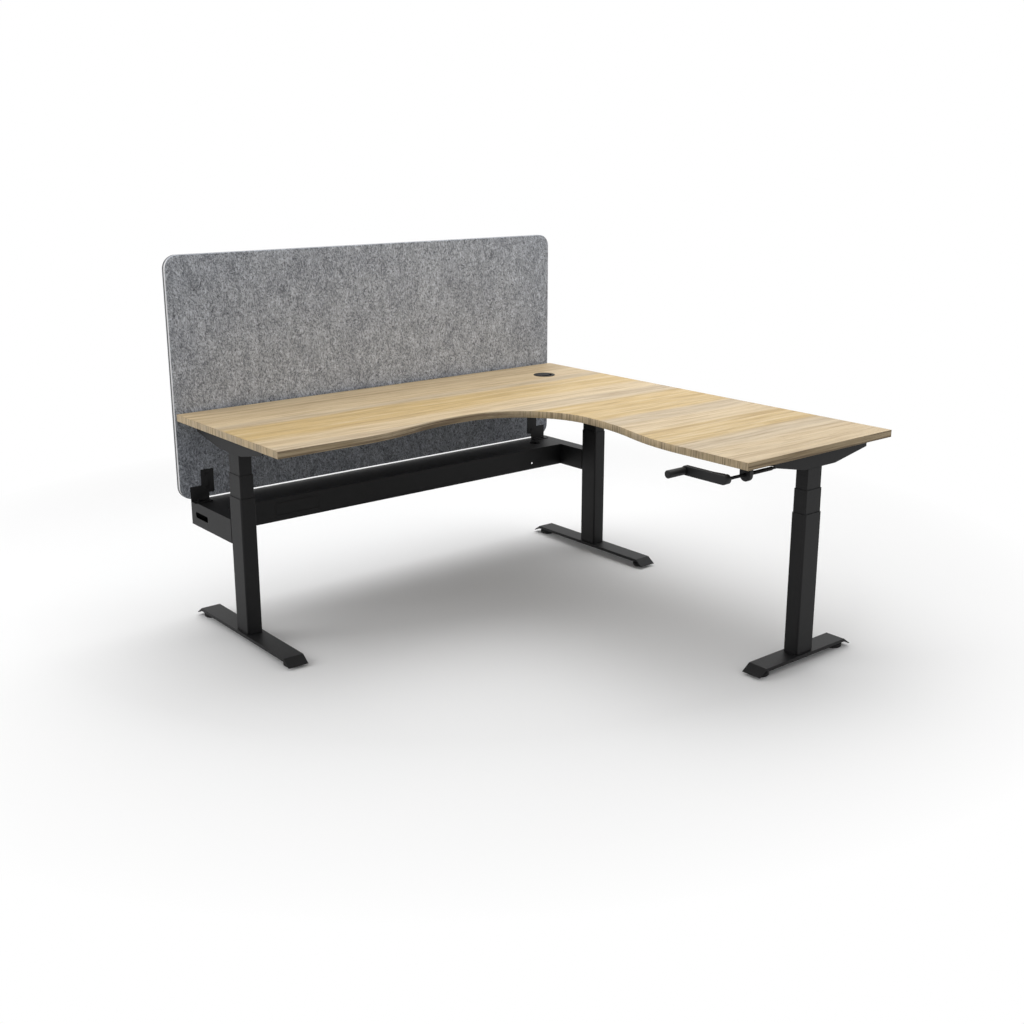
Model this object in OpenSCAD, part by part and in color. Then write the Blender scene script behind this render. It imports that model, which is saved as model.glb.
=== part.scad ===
// Corner workstation: an L-shaped desktop on three telescopic columns, raised by a hand crank,
// with a felt screen standing on a cable beam behind it.
// Millimetres, +Z up. The origin is on the floor under the middle of the whole desk.
// Sizes are worked out in a desk frame: X runs from the open end of the long side to the outer
// corner, Y is 0 at the back edge and negative towards the front.

/* [Desktop] */
// Length of the back edge, and of the outer edge of the return
top_len = 1800; // [1750:10:1900]
// Depth of the desktop at both open ends
end_depth = 750; // [730:5:800]
// Depth where the front edge has swept in
waist_depth = 674; // [640:1:690]
// Thickness of the board
top_t = 25; // [22:1:33]
// Height of the working surface above the floor
top_h = 793; // [665:1:1265]
// Straight stretch of the front edge, from the open end to the start of the sweep
straight_run = 295; // [200:5:350]
// Distance from the open end to where the sweep meets the inside corner
sweep_end = 815; // [780:5:830]
// Thickness of the edge band
band_t = 2; // [1:0.5:3]

/* [Cable grommet] */
// Distance from the outer edge to the middle of the grommet
grommet_from_side = 222; // [150:1:260]
// Distance from the back edge to the middle of the grommet
grommet_from_back = 221; // [215:1:260]
// Diameter of the hole in the desktop
grommet_hole_d = 80; // [60:1:80]
// Diameter of the rim that covers the hole
grommet_rim_d = 92; // [88:1:100]

/* [Columns] */
// Long side of the outer tube
outer_w = 86; // [86:1:100]
// Short side of the outer tube
outer_d = 59; // [59:1:70]
// Height of the outer tube's mouth above the floor
outer_top = 540; // [530:1:545]
// Step from one tube to the next on the long side
stage_step_w = 2.75; // [2.5:0.05:3]
// Step from one tube to the next on the short side
stage_step_d = 2.65; // [2.5:0.05:3]
// Wall of the tubes
tube_wall = 2; // [1.5:0.1:2]
// Radius of the tubes' corners
tube_r = 6; // [5:0.5:8]
// Distance of the left column from the open end of the long side
left_inset = 80; // [75:1:120]
// Distance of the corner column from the outer edge
corner_inset = 25; // [25:1:80]
// Distance of the left and corner columns from the back edge
row_depth = 326; // [320:1:340]
// Distance of the return column from the outer edge
return_inset = 327; // [310:1:340]
// Distance of the return column from its open end
return_end_inset = 90; // [85:1:120]

/* [Feet] */
// Length of the left and corner feet
foot_len = 705; // [600:5:750]
// Length of the return foot
return_foot_len = 498; // [450:2:560]
// Width of the feet
foot_w = 77; // [72:1:90]
// Height of the feet
foot_h = 35; // [35:1:40]
// Depth of the folded sides
foot_side = 12; // [10:1:14]
// Length of the sloping flap at each end
flap_len = 36; // [30:1:45]
// Height of the flap's tip above the floor
flap_tip = 10; // [8:1:14]
// Diameter of the levelling pads
pad_d = 60; // [40:1:62]
// Distance of the levelling pads from the ends of the foot
pad_inset = 48; // [40:1:60]

/* [Screen] */
// Height of the screen
screen_h = 903; // [600:1:1000]
// Height of the screen's lower edge above the floor
screen_z = 461; // [458:1:470]
// Thickness of each felt board
felt_t = 12; // [9:1:14]
// Gap between the desktop's back edge and the screen
screen_gap = 15; // [10:1:20]
// Radius of the screen's corners
screen_r = 50; // [20:1:80]

/* [Cable beam] */
// Height of the beam's underside above the floor
beam_z = 360; // [340:1:380]
// Height of the beam
beam_h = 90; // [80:1:100]
// Distance of the beam's front face in front of the desktop's back edge
beam_front = 142; // [120:1:150]
// Distance of the beam's back face behind the desktop's back edge
beam_back = 38; // [30:1:42]
// Thickness of the folded sheet
sheet_t = 2; // [1.5:0.5:3]
// Length of the cable slot in the end of each arm
slot_len = 99; // [60:1:110]
// Height of the cable slot
slot_h = 22; // [12:1:30]
// Diameter of the cable holes in the top of the beam
beam_hole_d = 48; // [30:1:60]

/* [Crank] */
// Distance between the crank's axis and the grip's axis
crank_throw = 158; // [120:1:180]
// Length of the grip
grip_len = 80; // [70:1:110]
// Diameter of the grip
grip_d = 27; // [20:1:30]
// Gap between the desktop's edge and the hub of the crank arm
crank_gap = 6; // [4:1:20]

/* [Hidden] */
$fn = 96;
LEFT = 0;
CORNER = 1;
RETURN = 2;

black = "#1d1d1f";
oak = "#cdb48c";
oak_edge = "#b9a27c";
felt_grey = "#8c8c8e";
steel = "#9a9c9f";

// Overlap of solids that join, reach of a cut past a face, and fits of pieces that turn or slide
eps = 0.01;
over = 1;
running_gap = 0.06;
moving_gap = 0.3;
bolt_gap = 0.1;
boss_gap = 0.2;

// The front edge sweeps in along two equal arcs that meet in the middle, then turns the corner.
sweep_run = sweep_end - straight_run;
sweep_drop = end_depth - waist_depth;
sweep_r = (sweep_run * sweep_run + sweep_drop * sweep_drop) / (4 * sweep_drop);
corner_r = top_len - waist_depth - sweep_end;

// Columns: where each one stands, and how far it is turned so that its foot lies along X or Y.
leg_pos = [
    [left_inset, -row_depth],
    [top_len - corner_inset, -row_depth],
    [top_len - return_inset, -(top_len - return_end_inset)]
];
leg_turn = [90, 90, 0];
leg_foot = [foot_len, foot_len, return_foot_len];
// Side of the wing bracket that the drive shaft goes through
leg_shaft_side = [-1, 1, 1];

// The origin lies under the middle of the desk's whole box.
right_reach = top_len - corner_inset + foot_w / 2;
back_reach = screen_gap + 2 * felt_t;
origin_x = right_reach / 2;
origin_y = (back_reach - top_len) / 2;

// Heights that follow the working height. The middle tubes rise half as far as the top.
underside = top_h - top_t;
wing_h = 70;
inner_top = underside - wing_h;
stage_lead = 10;
mid_top = outer_top + (inner_top - outer_top + stage_lead) / 2;
mid_len = 505;
inner_len = 503;
mid_w = outer_w - 2 * stage_step_w;
mid_d = outer_d - 2 * stage_step_d;
inner_step_less = 0.25;
inner_w = mid_w - 2 * (stage_step_w - inner_step_less);
inner_d = mid_d - 2 * (stage_step_d - inner_step_less);
mid_r = tube_r - stage_step_w;
inner_round = 0.5;
inner_r = tube_wall + inner_round;
lip_h = 8;
end_plate_t = 5;
guide_plate_t = 4;

// Foot
foot_plate_t = 4;
foot_side_t = 3;
boss_r = 9;
boss_len = 11;
stem_r = 5;
stem_short = 1.5;
hole_past_stem = 0.5;
pad_h = 18;
pad_edge = 3;
pad_shoulder = 6;
bolt_span_w = 56;
bolt_span_d = 36;
bolt_r = 4;
bolt_head_r = 7;
bolt_head_h = 5;
bolt_key_r = 2.9;
bolt_key_h = 3;

// Spindles
lower_spindle_r = 6.2;
lower_spindle_top = 545;
spindle_flange_r = 15;
spindle_flange_t = 4;
mid_spindle_r = 10.2;
mid_spindle_bore_r = lower_spindle_r + moving_gap;
mid_spindle_short = 6;
upper_spindle_r = 13;
upper_spindle_bore_r = mid_spindle_r + moving_gap;
journal_r = 6;
spindle_cap_t = 6;

// Wing brackets
wing_wall = 3;
wing_short = 213;
wing_long = 282;
wing_flat_short = 56;
wing_flat_long = 109;
wing_end_h = 38;
wing_screw_at = [-180, -95, 150, 250];
wing_slot_at = [-140, 205];
wing_slot_len = 50;
wing_slot_w = 16;

// Gearboxes and drive shafts
shaft_drop = 39;
shaft_z = underside - shaft_drop;
shaft_r = 6;
shaft_clear_r = 8;
gear_w = 64;
gear_d = 42;
gear_h = 58;
gear_r = 5;
gear_boss_r = 17;
gear_boss_len = 8;
gear_z = inner_top + wing_wall;
lug_w = 18;
lug_d = 26;
lug_t = 4;
lug_out = 6;
journal_len = 14;
journal_top = gear_z + journal_len;
shaft_seat = 13;
crank_offset = 15;
junction_size = 60;
junction_h = 61;
junction_r = 6;
junction_flange_len = 100;
junction_screw_at = 39;

// Rails under the desktop
rail_w = 40;
rail_h = 25;
rail_wall = 2;
back_rail_y = -150;
front_rail_y = -440;
return_rail_gap = 85;

// Crank
crank_y = leg_pos[RETURN][1] - crank_offset;
crank_z = shaft_z;
socket_len = 24;
socket_end_gap = 2;
inner_edge = top_len - end_depth;
arm_t = 17;
arm_r = 16;
hub_len = 10;
hub_cap_t = 3;
arm_x = inner_edge - crank_gap - hub_len - arm_t;
rod_r = 4.5;
rod_flats = 10;
rod_journal_r = 6;
rod_sleeve_r = 6.5;
rod_step_gap = 4;
hanger_x = inner_edge + 82;
hanger_t = 16;
hanger_w = 44;
hanger_drop = 61;
hanger_flange_w = 24;
hanger_flange_len = 72;
hanger_flange_r = 5;
hanger_screw_at = 28;
flange_t = 3;
grip_pin_r = 4;
grip_gap = 1.5;
grip_round = 3;
grip_taper = 0.5;
grip_shoulder = 4;
grip_end_t = 5;
grip_pin_short = 6;

// Wood screws that hold the desktop
screw_head_r = 5;
screw_head_h = 3;
screw_key_r = 2;
screw_key_h = 1.5;
screw_r = 2.4;
screw_hole_r = 2.5;
screw_bite = 16;

// Beam and arms
beam_top = beam_z + beam_h;
arm_left = [left_inset - outer_d / 2, left_inset + outer_d / 2];
arm_corner = [leg_pos[CORNER][0] - outer_d / 2, leg_pos[CORNER][0] + outer_d / 2];
column_back = -row_depth + outer_w / 2;
beam_lip = 20;
beam_hole_inset = 79;
beam_hole_y = -55;
arm_wall = 2.5;
window_margin = 8;
slot_front = 97;
slot_z = beam_z + beam_h / 2 - 2;
slot_r = slot_h / 2 - 3;
panel_x = arm_left[1] + 292.5;
panel_z = beam_z + 48;
panel_w = 188;
panel_h = 47;
panel_gap = 0.6;
panel_flange = 3;
panel_flange_t = 1.2;
front_hole_x = arm_corner[0] - 167.5;
front_hole_z = beam_z + 27;
front_hole_d = 8;

// Screen brackets, measured from their outer edge
bracket_t = 3;
bracket_base_w = 74;
bracket_base_h = 58;
bracket_post_at = 45;
bracket_post_w = 51;
bracket_post_low = 28;
bracket_post_top = 118;
bracket_foot = 30;
bracket_r = 4;
bracket_left_x = 40;
bracket_corner_x = top_len - 22;
post_screw_z = [44, 100];
foot_screw_at = [20, 54];
felt_bite = 10;
button_r = 6;
button_h = 2.5;
button_key_r = 2.3;
button_key_h = 1.5;

// Grommet
ring_flange_t = 2;
ring_edge = 1;
ring_wall = 2.8;
ring_depth = 22;
cap_drop = 5;
ledge_t = 2;
ledge_w = 3;
cap_r = grommet_hole_d / 2 - moving_gap - ring_wall - moving_gap;
crescent_r = 32;
crescent_shift = 36;
crescent_wider = 20;

module in_desk() {
    translate([-origin_x, -origin_y, 0]) children();
}

module on_leg(leg) {
    translate([leg_pos[leg][0], leg_pos[leg][1], 0]) rotate([0, 0, leg_turn[leg]]) children();
}

// Box from one corner to the opposite one
module box(low, high) {
    translate(low) cube(high - low);
}

module round_rect(w, d, r) {
    square([w - 2 * r, d], center = true);
    square([w, d - 2 * r], center = true);
    for (x = [-1, 1], y = [-1, 1]) {
        translate([x * (w / 2 - r), y * (d / 2 - r)]) circle(r);
    }
}

module tube_section(w, d, r, wall) {
    difference() {
        round_rect(w, d, r);
        round_rect(w - 2 * wall, d - 2 * wall, r - wall);
    }
}

module along_x(from, y, z) {
    translate([from, y, z]) rotate([0, 90, 0]) children();
}

module along_y(x, from, z) {
    translate([x, from, z]) rotate([-90, 0, 0]) children();
}

// Desktop

// One side of the L, up to the inside corner's curve, drawn smaller by inset all round
module side_plan(inset) {
    half = sweep_run / 2 * (1 - inset / sweep_r);
    meet = straight_run + half;
    translate([inset, -(waist_depth - inset)]) square([top_len - 2 * inset, waist_depth - 2 * inset]);
    translate([inset, -(end_depth - inset)]) square([straight_run - inset, end_depth / 2]);
    intersection() {
        translate([straight_run, -end_depth]) square([half, end_depth / 2]);
        translate([straight_run, sweep_r - end_depth]) circle(sweep_r - inset, $fn = 720);
    }
    difference() {
        translate([meet, -end_depth]) square([sweep_end - meet, end_depth / 2]);
        translate([sweep_end, -waist_depth - sweep_r]) circle(sweep_r + inset, $fn = 720);
    }
}

module desktop_plan(inset) {
    side_plan(inset);
    translate([top_len, -top_len]) mirror([1, -1, 0]) side_plan(inset);
    difference() {
        translate([sweep_end, -waist_depth - corner_r]) square([corner_r + inset, corner_r + inset]);
        translate([sweep_end, -waist_depth - corner_r]) circle(corner_r + inset, $fn = 360);
    }
}

// Desktop screws: places in the desk frame, all with their heads at the same height
module at_top_screws() {
    for (leg = [LEFT, CORNER, RETURN]) {
        on_leg(leg) for (x = wing_screw_at) translate([x, 0, underside]) children();
    }
    for (y = [-1, 1]) {
        translate([hanger_x, crank_y + y * hanger_screw_at, underside]) children();
        translate([leg_pos[RETURN][0], -row_depth + y * junction_screw_at, underside]) children();
    }
}

module screw_holes(up, down) {
    at_top_screws() translate([0, 0, -down]) cylinder(r = screw_hole_r, h = up + down, $fn = 24);
}

module desktop() {
    color(oak) in_desk() difference() {
        translate([0, 0, underside]) linear_extrude(top_t) desktop_plan(band_t);
        translate([top_len - grommet_from_side, -grommet_from_back, underside - over])
            cylinder(d = grommet_hole_d, h = top_t + 2 * over);
        screw_holes(screw_bite, eps);
    }
}

module edge_band() {
    color(oak_edge) in_desk() translate([0, 0, underside]) linear_extrude(top_t) difference() {
        desktop_plan(0);
        desktop_plan(band_t);
    }
}

// Columns

module outer_tube(leg) {
    color(black) in_desk() on_leg(leg) difference() {
        union() {
            translate([0, 0, foot_h])
                linear_extrude(outer_top - foot_h) tube_section(outer_w, outer_d, tube_r, tube_wall);
            translate([0, 0, foot_h]) linear_extrude(end_plate_t)
                round_rect(outer_w - tube_wall, outer_d - tube_wall, tube_r - tube_wall / 2);
            translate([0, 0, outer_top - lip_h]) linear_extrude(lip_h) difference() {
                round_rect(outer_w - tube_wall, outer_d - tube_wall, tube_r - tube_wall / 2);
                round_rect(mid_w + 2 * moving_gap, mid_d + 2 * moving_gap, mid_r + moving_gap);
            }
        }
        foot_bolt_holes();
    }
}

module mid_tube(leg) {
    low = mid_top - mid_len;
    color(black) in_desk() on_leg(leg) difference() {
        union() {
            translate([0, 0, low]) linear_extrude(mid_len) tube_section(mid_w, mid_d, mid_r, tube_wall);
            translate([0, 0, low]) linear_extrude(guide_plate_t)
                round_rect(mid_w - tube_wall, mid_d - tube_wall, mid_r - tube_wall / 2);
            translate([0, 0, mid_top - lip_h]) linear_extrude(lip_h) difference() {
                round_rect(mid_w - tube_wall, mid_d - tube_wall, mid_r - tube_wall / 2);
                round_rect(inner_w + 2 * moving_gap, inner_d + 2 * moving_gap, inner_r + moving_gap);
            }
        }
        translate([0, 0, low - over]) cylinder(r = mid_spindle_r, h = guide_plate_t + 2 * over);
    }
}

module inner_tube(leg) {
    color(black) in_desk() on_leg(leg) translate([0, 0, inner_top - inner_len])
        linear_extrude(inner_len) tube_section(inner_w, inner_d, inner_r, tube_wall);
}

module lower_spindle(leg) {
    color(steel) in_desk() on_leg(leg) translate([0, 0, foot_h + end_plate_t]) {
        cylinder(r = lower_spindle_r, h = lower_spindle_top - foot_h - end_plate_t);
        cylinder(r = spindle_flange_r, h = spindle_flange_t);
    }
}

module mid_spindle(leg) {
    low = mid_top - mid_len;
    color(steel) in_desk() on_leg(leg) translate([0, 0, low]) difference() {
        cylinder(r = mid_spindle_r, h = mid_len - mid_spindle_short);
        translate([0, 0, -over]) cylinder(r = mid_spindle_bore_r, h = mid_len + 2 * over);
    }
}

module upper_spindle(leg) {
    low = inner_top - inner_len;
    high = gear_z - gear_boss_len - moving_gap;
    color(steel) in_desk() on_leg(leg) difference() {
        union() {
            translate([0, 0, low]) cylinder(r = upper_spindle_r, h = high - low);
            translate([0, 0, high - over]) cylinder(r = journal_r, h = journal_top - high + over);
        }
        translate([0, 0, low - over])
            cylinder(r = upper_spindle_bore_r, h = high - spindle_cap_t - low + over);
    }
}

// Gearbox in the wing bracket: the drive shaft comes in from the side, and on the return
// column the crank's rod comes in beside it.
module gearbox(leg) {
    side = leg_shaft_side[leg];
    color(black) in_desk() on_leg(leg) difference() {
        union() {
            translate([0, 0, gear_z]) linear_extrude(gear_h) round_rect(gear_w, gear_d, gear_r);
            translate([0, 0, gear_z - gear_boss_len]) cylinder(r = gear_boss_r, h = gear_boss_len + over);
            for (x = [-1, 1]) {
                translate([x * (gear_w / 2 + lug_out), 0, gear_z])
                    linear_extrude(lug_t) round_rect(lug_w, lug_d, gear_r);
            }
        }
        translate([0, 0, gear_z - gear_boss_len - over])
            cylinder(r = journal_r + running_gap, h = journal_len + gear_boss_len + 2 * over);
        along_y(0, side > 0 ? gear_d / 2 - shaft_seat - over : -gear_d / 2 - over, shaft_z)
            cylinder(r = shaft_r + running_gap, h = shaft_seat + 2 * over);
        if (leg == RETURN) {
            along_x(-gear_w / 2 - over, -crank_offset, crank_z)
                cylinder(r = rod_r + running_gap, h = socket_len + over);
        }
    }
}

module wing_side() {
    rotate([90, 0, 0]) linear_extrude(wing_wall, center = true) polygon([
        [-wing_short, underside],
        [-wing_short, underside - wing_end_h],
        [-wing_flat_short, inner_top],
        [wing_flat_long, inner_top],
        [wing_long, underside - wing_end_h],
        [wing_long, underside]
    ]);
}

module wing(leg) {
    color(black) in_desk() difference() {
        on_leg(leg) difference() {
            union() {
                for (side = [-1, 1]) {
                    translate([0, side * (inner_d - wing_wall) / 2, 0]) wing_side();
                }
                box([-wing_short, -inner_d / 2, underside - wing_wall], [wing_long, inner_d / 2, underside]);
                box([-wing_flat_short, -inner_d / 2, inner_top],
                    [wing_flat_long, inner_d / 2, inner_top + wing_wall]);
            }
            translate([0, 0, inner_top - over])
                cylinder(r = gear_boss_r + boss_gap, h = wing_wall + 2 * over);
            along_y(0, leg_shaft_side[leg] * inner_d / 2 - wing_wall - over, shaft_z)
                cylinder(r = shaft_clear_r, h = 2 * wing_wall + 2 * over);
            for (x = wing_slot_at) {
                translate([x, 0, underside - wing_wall - over]) linear_extrude(wing_wall + 2 * over)
                    round_rect(wing_slot_len, wing_slot_w, wing_slot_w / 2 - eps);
            }
        }
        screw_holes(eps, wing_wall + eps);
    }
}

// Feet

module foot_bolt_holes() {
    for (x = [-1, 1], y = [-1, 1]) {
        translate([x * bolt_span_w / 2, y * bolt_span_d / 2, 0])
            cylinder(r = bolt_r + bolt_gap, h = foot_h + end_plate_t + over, $fn = 32);
    }
}

module foot(leg) {
    half = leg_foot[leg] / 2;
    fold = half - flap_len;
    rise = foot_h - flap_tip;
    slant = sqrt(flap_len * flap_len + rise * rise);
    tip_back = foot_plate_t * slant / rise;
    fold_back = foot_plate_t * (slant - flap_len) / rise;
    color(black) in_desk() on_leg(leg) difference() {
        union() {
            rotate([90, 0, 0]) linear_extrude(foot_w, center = true) polygon([
                [-half, flap_tip], [-fold, foot_h], [fold, foot_h], [half, flap_tip],
                [half - tip_back, flap_tip], [fold - fold_back, foot_h - foot_plate_t],
                [-fold + fold_back, foot_h - foot_plate_t], [-half + tip_back, flap_tip]
            ]);
            for (side = [-1, 1]) {
                translate([0, side * (foot_w - foot_side_t) / 2, foot_h - foot_side / 2])
                    cube([2 * fold, foot_side_t, foot_side], center = true);
            }
            for (end = [-1, 1]) {
                translate([end * (half - pad_inset), 0, foot_h - foot_plate_t - boss_len])
                    cylinder(r = boss_r, h = boss_len + over);
            }
        }
        for (end = [-1, 1]) {
            translate([end * (half - pad_inset), 0, 0])
                cylinder(r = stem_r + running_gap, h = foot_h - stem_short + hole_past_stem);
        }
        foot_bolt_holes();
    }
}

module leveller(leg, end) {
    half = leg_foot[leg] / 2;
    color(black) in_desk() on_leg(leg) translate([end * (half - pad_inset), 0, 0]) {
        rotate_extrude() polygon([
            [0, 0], [pad_d / 2 - pad_edge, 0], [pad_d / 2, pad_edge], [pad_d / 2, pad_h - pad_shoulder],
            [pad_d / 2 - pad_shoulder, pad_h], [0, pad_h]
        ]);
        cylinder(r = stem_r, h = foot_h - stem_short);
    }
}

module foot_bolts() {
    color(steel) in_desk() for (leg = [LEFT, CORNER, RETURN]) {
        on_leg(leg) for (x = [-1, 1], y = [-1, 1]) {
            translate([x * bolt_span_w / 2, y * bolt_span_d / 2, foot_h - foot_plate_t]) {
                cylinder(r = bolt_r, h = foot_plate_t + end_plate_t, $fn = 32);
                difference() {
                    translate([0, 0, -bolt_head_h]) cylinder(r = bolt_head_r, h = bolt_head_h, $fn = 48);
                    translate([0, 0, -bolt_head_h - over])
                        cylinder(r = bolt_key_r, h = bolt_key_h + over, $fn = 6);
                }
            }
        }
    }
}

// Rails and drive line under the desktop

module rail_section() {
    difference() {
        square([rail_w, rail_h], center = true);
        square([rail_w - 2 * rail_wall, rail_h - 2 * rail_wall], center = true);
    }
}

module long_rail(y) {
    from = left_inset + inner_d / 2;
    color(black) in_desk() along_x(from, y, underside - rail_h / 2) rotate([0, 0, 90])
        linear_extrude(leg_pos[CORNER][0] - inner_d / 2 - from) rail_section();
}

module return_rail(side) {
    from = leg_pos[RETURN][1] + inner_d / 2;
    color(black) in_desk()
        along_y(leg_pos[RETURN][0] + side * return_rail_gap, from, underside - rail_h / 2)
        linear_extrude(front_rail_y - rail_w / 2 - from) rail_section();
}

module junction_box() {
    x = leg_pos[RETURN][0];
    color(black) in_desk() difference() {
        union() {
            translate([x, -row_depth, underside - junction_h])
                linear_extrude(junction_h) round_rect(junction_size, junction_size, junction_r);
            translate([x, -row_depth, underside - flange_t])
                linear_extrude(flange_t) round_rect(junction_size, junction_flange_len, junction_r);
        }
        along_x(x - junction_size / 2 - over, -row_depth, shaft_z)
            cylinder(r = shaft_r + running_gap, h = junction_size + 2 * over);
        along_y(x, -row_depth - junction_size / 2 - over, shaft_z)
            cylinder(r = shaft_r + running_gap, h = shaft_seat + 2 * over);
        screw_holes(eps, flange_t + eps);
    }
}

module cross_shaft() {
    from = leg_pos[LEFT][0] + gear_d / 2 - shaft_seat;
    to = leg_pos[CORNER][0] - gear_d / 2 + shaft_seat;
    color(steel) in_desk() along_x(from, -row_depth, shaft_z) cylinder(r = shaft_r, h = to - from);
}

module return_shaft() {
    from = leg_pos[RETURN][1] + gear_d / 2 - shaft_seat;
    to = -row_depth - junction_size / 2 + shaft_seat;
    color(steel) in_desk() along_y(leg_pos[RETURN][0], from, shaft_z) cylinder(r = shaft_r, h = to - from);
}

// Crank

module crank_hanger() {
    color(black) in_desk() difference() {
        union() {
            along_x(hanger_x - hanger_t / 2, crank_y, crank_z)
                cylinder(r = hanger_drop - shaft_drop, h = hanger_t);
            box([hanger_x - hanger_t / 2, crank_y - hanger_w / 2, crank_z],
                [hanger_x + hanger_t / 2, crank_y + hanger_w / 2, underside]);
            translate([hanger_x, crank_y, underside - flange_t])
                linear_extrude(flange_t) round_rect(hanger_flange_w, hanger_flange_len, hanger_flange_r);
        }
        along_x(hanger_x - hanger_t, crank_y, crank_z)
            cylinder(r = rod_journal_r + running_gap, h = 2 * hanger_t);
        screw_holes(eps, flange_t + eps);
    }
}

// Six flats in the crank arm, a journal in the hanger, a sleeve up to the wing bracket, and a
// thinner end that runs between the bracket's sides into the gearbox
module crank_rod() {
    journal_x = hanger_x - hanger_t / 2 - rod_step_gap;
    sleeve_x = hanger_x + hanger_t / 2 + rod_step_gap;
    thin_x = leg_pos[RETURN][0] - wing_short - rod_step_gap;
    end_x = leg_pos[RETURN][0] - gear_w / 2 + socket_len - socket_end_gap;
    color(steel) in_desk() {
        along_x(arm_x + hub_cap_t, crank_y, crank_z)
            cylinder(d = rod_flats / cos(30), h = journal_x - arm_x - hub_cap_t + over, $fn = 6);
        along_x(journal_x, crank_y, crank_z) cylinder(r = rod_journal_r, h = sleeve_x - journal_x + over);
        along_x(sleeve_x, crank_y, crank_z) cylinder(r = rod_sleeve_r, h = thin_x - sleeve_x);
        along_x(thin_x - over, crank_y, crank_z) cylinder(r = rod_r, h = end_x - thin_x + over);
    }
}

module crank_arm() {
    color(black) in_desk() difference() {
        union() {
            along_x(arm_x, crank_y, crank_z) cylinder(r = arm_r, h = arm_t + hub_len);
            along_x(arm_x, crank_y + crank_throw, crank_z) cylinder(r = arm_r, h = arm_t);
            box([arm_x, crank_y, crank_z - arm_r], [arm_x + arm_t, crank_y + crank_throw, crank_z + arm_r]);
            along_x(arm_x - grip_gap - grip_len + grip_pin_short, crank_y + crank_throw, crank_z)
                cylinder(r = grip_pin_r, h = grip_len + grip_gap - grip_pin_short + over);
        }
        along_x(arm_x + hub_cap_t, crank_y, crank_z)
            cylinder(d = rod_flats / cos(30) + bolt_gap, h = arm_t + hub_len, $fn = 6);
    }
}

module crank_grip() {
    color(black) in_desk() along_x(arm_x - grip_gap - grip_len, crank_y + crank_throw, crank_z)
        rotate_extrude() polygon([
            [0, 0], [grip_d / 2 - grip_round, 0], [grip_d / 2, grip_round],
            [grip_d / 2 - grip_taper, grip_len - grip_shoulder], [grip_d / 2 - grip_round, grip_len],
            [grip_pin_r + running_gap, grip_len], [grip_pin_r + running_gap, grip_end_t], [0, grip_end_t]
        ]);
}

// Grommet

module grommet_ring() {
    r = grommet_hole_d / 2 - moving_gap;
    bore = r - ring_wall;
    color(black) in_desk() translate([top_len - grommet_from_side, -grommet_from_back, top_h])
        rotate_extrude() polygon([
            [bore, ring_flange_t], [grommet_rim_d / 2 - ring_edge, ring_flange_t],
            [grommet_rim_d / 2, 0], [r, 0],
            [r, -ring_depth], [bore, -ring_depth], [bore, -cap_drop - ledge_t],
            [bore - ledge_w, -cap_drop - ledge_t], [bore - ledge_w, -cap_drop], [bore, -cap_drop]
        ]);
}

module grommet_cap() {
    color(black) in_desk()
        translate([top_len - grommet_from_side, -grommet_from_back, top_h - cap_drop + moving_gap])
        linear_extrude(cap_drop + ring_flange_t - moving_gap) difference() {
            circle(cap_r);
            difference() {
                circle(crescent_r);
                translate([0, crescent_shift]) circle(crescent_r + crescent_wider);
            }
        }
}

// Cable beam, its arms and the screen

// Places of the screen screws, each with its head towards +Z of the child
module at_post_screws() {
    for (x = [bracket_left_x + bracket_post_at + bracket_post_w / 2,
              bracket_corner_x - bracket_post_at - bracket_post_w / 2], z = post_screw_z) {
        translate([x, screen_gap - bracket_t, beam_top + z]) rotate([90, 0, 0]) children();
    }
}

module at_foot_screws() {
    for (at = foot_screw_at, x = [bracket_left_x + at, bracket_corner_x - at]) {
        translate([x, screen_gap - bracket_t - bracket_foot / 2, beam_top + bracket_t]) children();
    }
}

module button_screw() {
    difference() {
        cylinder(r = button_r, h = button_h, $fn = 48);
        translate([0, 0, button_h - button_key_h])
            cylinder(r = button_key_r, h = button_key_h + over, $fn = 6);
    }
    translate([0, 0, -bracket_t - felt_bite]) cylinder(r = screw_r, h = bracket_t + felt_bite, $fn = 24);
}

module button_hole() {
    translate([0, 0, -bracket_t - felt_bite])
        cylinder(r = screw_hole_r, h = bracket_t + felt_bite + over, $fn = 24);
}

module screen_screws() {
    color(black) in_desk() {
        at_post_screws() button_screw();
        at_foot_screws() button_screw();
    }
}

module cable_beam() {
    low = arm_left[1];
    high = arm_corner[0];
    color(black) in_desk() difference() {
        box([low, -beam_front, beam_z], [high, beam_back, beam_top]);
        box([low - over, -beam_front + sheet_t, beam_z + sheet_t],
            [high + over, beam_back - sheet_t, beam_top - sheet_t]);
        box([low - over, -beam_front + beam_lip, beam_z - over],
            [high + over, beam_back - beam_lip, beam_z + sheet_t + over]);
        for (x = [low + beam_hole_inset, high - beam_hole_inset]) {
            translate([x, beam_hole_y, beam_top - sheet_t - over])
                cylinder(d = beam_hole_d, h = sheet_t + 2 * over);
        }
        box([panel_x - panel_w / 2 - panel_gap, -beam_front - over, panel_z - panel_h / 2 - panel_gap],
            [panel_x + panel_w / 2 + panel_gap, -beam_front + sheet_t + over,
             panel_z + panel_h / 2 + panel_gap]);
        along_y(front_hole_x, -beam_front - over, front_hole_z)
            cylinder(d = front_hole_d, h = sheet_t + 2 * over);
        at_foot_screws() button_hole();
    }
}

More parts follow.
